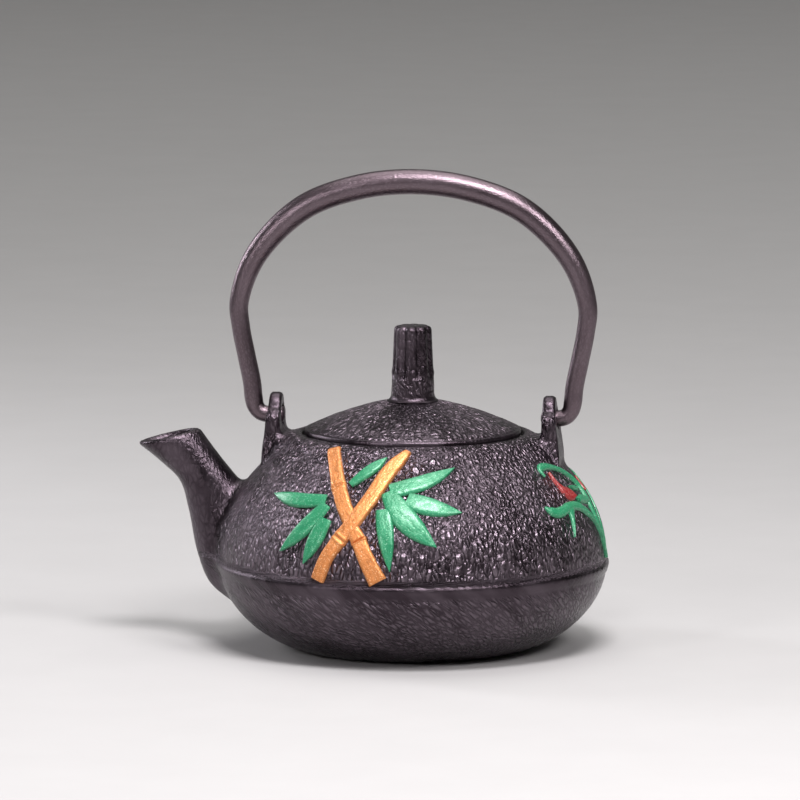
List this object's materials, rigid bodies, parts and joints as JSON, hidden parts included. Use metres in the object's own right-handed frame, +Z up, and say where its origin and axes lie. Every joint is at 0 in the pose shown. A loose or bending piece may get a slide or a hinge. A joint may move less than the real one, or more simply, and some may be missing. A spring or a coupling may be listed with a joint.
{
  "type": "teapot",
  "caption": "Small cast-iron teapot with a curved spout, a swinging arched bail, a domed knob lid, a lift-out infuser basket and a raised painted plant pattern.",
  "frame": {"origin": "middle of the flat base that the teapot stands on", "axes": "+Z up along the body's axis, spout towards -X, bamboo pattern towards -Y, bail pivot along X"},
  "size_m": [0.1352, 0.1128, 0.1361],
  "materials": {
    "cast_iron": "satin black cast iron with a coarse crumpled skin",
    "handle_iron": "satin black iron, smooth with a fine grain",
    "enamel": "glossy black vitreous enamel",
    "stainless": "brushed stainless steel",
    "copper_paint": "metallic copper-gold paint on raised iron",
    "green_paint": "satin green paint on raised iron",
    "red_paint": "satin red paint on raised iron"
  },
  "bodies": {
    "pot": {"pot_body": "cast_iron", "enamel_lining": "enamel", "bamboo_stalk_front": "copper_paint", "bamboo_stalk_back_upper": "copper_paint", "bamboo_stalk_back_lower": "copper_paint", "bamboo_spray_left": "green_paint", "bamboo_leaf_top": "green_paint", "bamboo_spray_right": "green_paint", "orchid_blade_long": "green_paint", "orchid_blade_back": "green_paint", "orchid_leaf_wavy": "green_paint", "orchid_bud_front": "red_paint", "orchid_bud_back": "red_paint", "orchid_nub": "green_paint"},
    "bail": {"bail_handle": "handle_iron"},
    "infuser": {"infuser_rim": "stainless", "infuser_wall_mesh": "stainless", "infuser_base_ring": "stainless", "infuser_base_mesh": "stainless"},
    "lid_assembly": {"lid": "cast_iron", "lid_knob": "cast_iron", "knob_washer": "stainless"}
  },
  "joints": [
    {"name": "bail_swing", "type": "hinge", "parent": "pot", "child": "bail", "pos_m": [0, 0, 0.0656], "axis": [1, 0, 0], "range_deg": [-115, 115]},
    {"name": "infuser_lift", "type": "slide", "parent": "pot", "child": "infuser", "axis": [0, 0, 1], "range_m": [0, 0.034]},
    {"name": "lid_lift", "type": "slide", "parent": "infuser", "child": "lid_assembly", "axis": [0, 0, 1], "range_m": [0, 0.035]}
  ]
}
